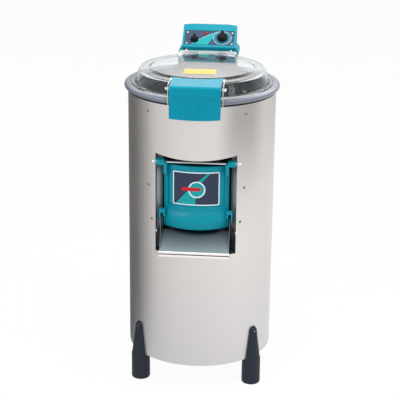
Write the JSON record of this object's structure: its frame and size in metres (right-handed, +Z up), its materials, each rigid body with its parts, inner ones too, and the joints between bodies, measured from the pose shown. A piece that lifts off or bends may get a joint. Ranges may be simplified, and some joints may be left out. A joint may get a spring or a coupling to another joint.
{
  "type": "electric potato peeler",
  "caption": "Floor-standing electric potato peeler: steel drum on legs, clear hinged lid with press latch, swing-up discharge door, chute and rear control console.",
  "frame": {"origin": "on the floor, at the middle of the whole machine seen from above", "axes": "+Z up, front with the discharge door towards -Y, +X to the right of someone facing the machine"},
  "size_m": [0.42, 0.5108, 0.9292],
  "materials": {
    "stainless": "brushed",
    "dark_steel": "satin",
    "bright_steel": "polished",
    "ring_rubber": "satin",
    "abrasive": "rough grit",
    "disc_grit": "grit coated",
    "teal_plastic": "moulded",
    "handle_plastic": "moulded",
    "leg_plastic": "moulded",
    "black_plastic": "moulded",
    "clear_plastic": "clear",
    "panel_navy": "satin",
    "lamp_red": "translucent",
    "switch_plastic": "moulded",
    "casting": "cast",
    "motor_paint": "enamel",
    "belt_rubber": "matt",
    "brass": "machined"
  },
  "bodies": {
    "cabinet": {"body_shell": "stainless", "rim_ring": "ring_rubber", "top_collar": "stainless", "drum": "stainless", "drum_floor": "stainless", "drum_liner": "abrasive", "discharge_surround": "dark_steel", "surround_bolts": "bright_steel", "chute_tray": "stainless", "door_rod": "bright_steel", "rod_caps": "bright_steel", "base_plate": "stainless", "leg_front_left": "leg_plastic", "leg_front_right": "leg_plastic", "leg_rear_left": "leg_plastic", "leg_rear_right": "leg_plastic", "leg_screws": "bright_steel", "body_screws": "bright_steel", "bearing_housing": "casting", "shaft_bearings": "bright_steel", "shaft_seal": "belt_rubber", "motor_plate": "stainless", "motor_housing": "motor_paint", "frame_bolts": "bright_steel", "drive_belt": "belt_rubber", "drain_outlet": "stainless", "water_inlet": "brass", "cable_gland": "black_plastic", "rear_bridge": "stainless", "bridge_bolts": "bright_steel", "hinge_pin": "bright_steel", "console_housing": "teal_plastic", "console_base": "leg_plastic", "console_screws": "bright_steel", "control_panel": "panel_navy", "panel_screws": "bright_steel", "indicator_lamp": "lamp_red", "timer_body": "switch_plastic", "switch_body": "switch_plastic", "lid_switch": "black_plastic"},
    "lid": {"lid_cover": "clear_plastic", "hinge_leaf": "stainless", "lid_bolts": "bright_steel", "latch_bracket": "stainless", "latch_rod": "bright_steel", "latch_nuts": "bright_steel", "latch_spring": "bright_steel"},
    "latch": {"latch_handle": "handle_plastic"},
    "door": {"chute_door": "teal_plastic", "door_liner": "stainless"},
    "selector": {"selector_knob": "black_plastic", "selector_spindle": "bright_steel"},
    "timer": {"timer_knob": "black_plastic", "timer_spindle": "bright_steel"},
    "disc": {"peeling_disc": "disc_grit", "drive_shaft": "bright_steel", "disc_cap": "stainless", "driven_pulley": "casting"},
    "rotor": {"motor_shaft": "bright_steel", "motor_pulley": "casting"}
  },
  "joints": [
    {"name": "lid_hinge", "type": "hinge", "parent": "cabinet", "child": "lid", "pos_m": [0, 0.1554, 0.866], "axis": [-1, 0, 0], "range_deg": [0, 95]},
    {"name": "latch_press", "type": "hinge", "parent": "lid", "child": "latch", "pos_m": [0, -0.2296, 0.861], "axis": [1, 0, 0], "range_deg": [0, 12], "stiffness_Nm_per_rad": 2, "springref_deg": -5.73},
    {"name": "door_swing", "type": "hinge", "parent": "cabinet", "child": "door", "pos_m": [0, -0.1876, 0.651], "axis": [-1, 0, 0], "range_deg": [0, 85]},
    {"name": "selector_turn", "type": "hinge", "parent": "cabinet", "child": "selector", "pos_m": [-0.0424, 0.20317, 0.89365], "axis": [0, 0.6018, -0.7986], "range_deg": [0, 90]},
    {"name": "timer_turn", "type": "hinge", "parent": "cabinet", "child": "timer", "pos_m": [0.0367, 0.20955, 0.89846], "axis": [0, 0.6018, -0.7986], "range_deg": [0, 300]},
    {"name": "disc_spin", "type": "hinge", "parent": "cabinet", "child": "disc", "pos_m": [0, -0.0246, 0.45], "axis": [0, 0, 1], "continuous": true},
    {"name": "motor_spin", "type": "hinge", "parent": "cabinet", "child": "rotor", "pos_m": [0, -0.1496, 0.3], "axis": [0, 0, 1], "continuous": true}
  ],
  "couplings": [
    {"joint": "motor_spin", "follows": "disc_spin", "ratio": 3.9}
  ]
}
